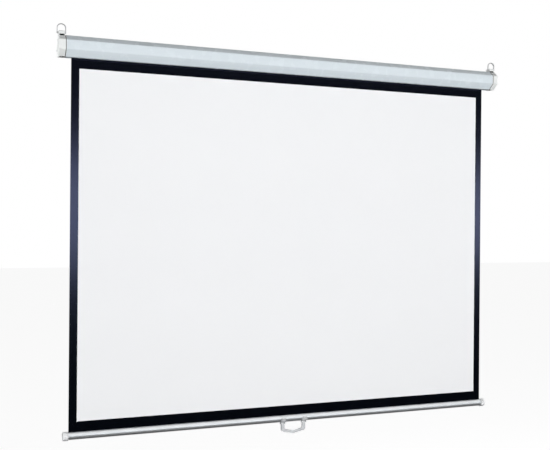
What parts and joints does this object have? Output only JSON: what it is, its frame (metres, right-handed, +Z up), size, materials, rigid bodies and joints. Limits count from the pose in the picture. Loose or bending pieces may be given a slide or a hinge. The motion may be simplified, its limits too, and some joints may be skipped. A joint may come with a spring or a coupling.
{
  "type": "pull down projector screen",
  "caption": "Wall or ceiling hung projection screen: sprung roller in a chamfered casing, black-bordered fabric, bottom tube with a swinging pull handle.",
  "frame": {"origin": "middle of the casing's flat back face, which lies against the wall", "axes": "+X along the casing, to the right as the viewer sees it; +Y from the viewer into the wall; +Z up"},
  "size_m": [1.8664, 0.076, 1.5419],
  "materials": {
    "white_enamel": "satin white enamel on folded sheet steel",
    "white_plastic": "white moulded plastic with a fine grain",
    "zinc_steel": "bright zinc-plated steel",
    "spring_steel": "dark oiled spring steel",
    "nylon": "natural nylon",
    "black_fabric": "black coated fabric with a slight blue sheen",
    "white_coating": "matte white projection coating",
    "silver_tube": "satin silver",
    "grey_plastic": "light grey plastic"
  },
  "bodies": {
    "casing": {"casing_shell": "white_enamel", "left_end_cap": "white_plastic", "right_end_cap": "white_plastic", "left_bracket_plate": "zinc_steel", "right_bracket_plate": "zinc_steel", "left_cap_screw_1": "zinc_steel", "left_cap_screw_2": "zinc_steel", "right_cap_screw_1": "zinc_steel", "right_cap_screw_2": "zinc_steel", "roller_spindle": "zinc_steel", "torsion_spring": "spring_steel", "ratchet_disc": "zinc_steel", "idler_bush": "nylon"},
    "roller": {"roller_tube": "silver_tube", "fabric_wraps": "black_fabric", "spring_end_plug": "nylon", "spring_anchor": "nylon", "idler_end_plug": "nylon", "idler_pin": "zinc_steel", "upper_pawl_pin": "zinc_steel", "lower_pawl_pin": "zinc_steel"},
    "upper_pawl": {"upper_pawl": "zinc_steel"},
    "lower_pawl": {"lower_pawl": "zinc_steel"},
    "bar": {"screen_fabric": "black_fabric", "white_surface": "white_coating", "bottom_tube": "silver_tube", "fabric_hem": "black_fabric", "hem_rod": "nylon", "left_bar_knob": "grey_plastic", "right_bar_knob": "grey_plastic", "left_handle_clip": "grey_plastic", "right_handle_clip": "grey_plastic", "left_clip_rivet_1": "zinc_steel", "left_clip_rivet_2": "zinc_steel", "right_clip_rivet_1": "zinc_steel", "right_clip_rivet_2": "zinc_steel", "left_handle_pin": "zinc_steel", "right_handle_pin": "zinc_steel"},
    "handle": {"pull_handle": "grey_plastic"},
    "left_hanger": {"left_hanger_loop": "zinc_steel"},
    "right_hanger": {"right_hanger_loop": "zinc_steel"}
  },
  "joints": [
    {"name": "bar_drop", "type": "slide", "parent": "casing", "child": "bar", "axis": [0, 0, 1], "range_m": [0, 1.343], "deforming": ["screen_fabric", "white_surface"]},
    {"name": "roller_spin", "type": "hinge", "parent": "casing", "child": "roller", "pos_m": [0, -0.04355, 0], "axis": [1, 0, 0], "range_deg": [0, 3961]},
    {"name": "upper_pawl_pivot", "type": "hinge", "parent": "roller", "child": "upper_pawl", "pos_m": [-0.8866, -0.04355, 0.0122], "axis": [1, 0, 0], "range_deg": [-12, 15]},
    {"name": "lower_pawl_pivot", "type": "hinge", "parent": "roller", "child": "lower_pawl", "pos_m": [-0.8866, -0.04355, -0.0122], "axis": [1, 0, 0], "range_deg": [-12, 15]},
    {"name": "handle_swing", "type": "hinge", "parent": "bar", "child": "handle", "pos_m": [0, -0.026, -1.4198], "axis": [1, 0, 0], "range_deg": [-75, 75]},
    {"name": "left_hanger_fold", "type": "hinge", "parent": "casing", "child": "left_hanger", "pos_m": [-0.9167, -0.04, 0.0455], "axis": [1, 0, 0], "range_deg": [-90, 90]},
    {"name": "right_hanger_fold", "type": "hinge", "parent": "casing", "child": "right_hanger", "pos_m": [0.9167, -0.04, 0.0455], "axis": [1, 0, 0], "range_deg": [-90, 90]}
  ],
  "couplings": [
    {"joint": "roller_spin", "follows": "bar_drop", "rad_per_m": 51.46}
  ]
}
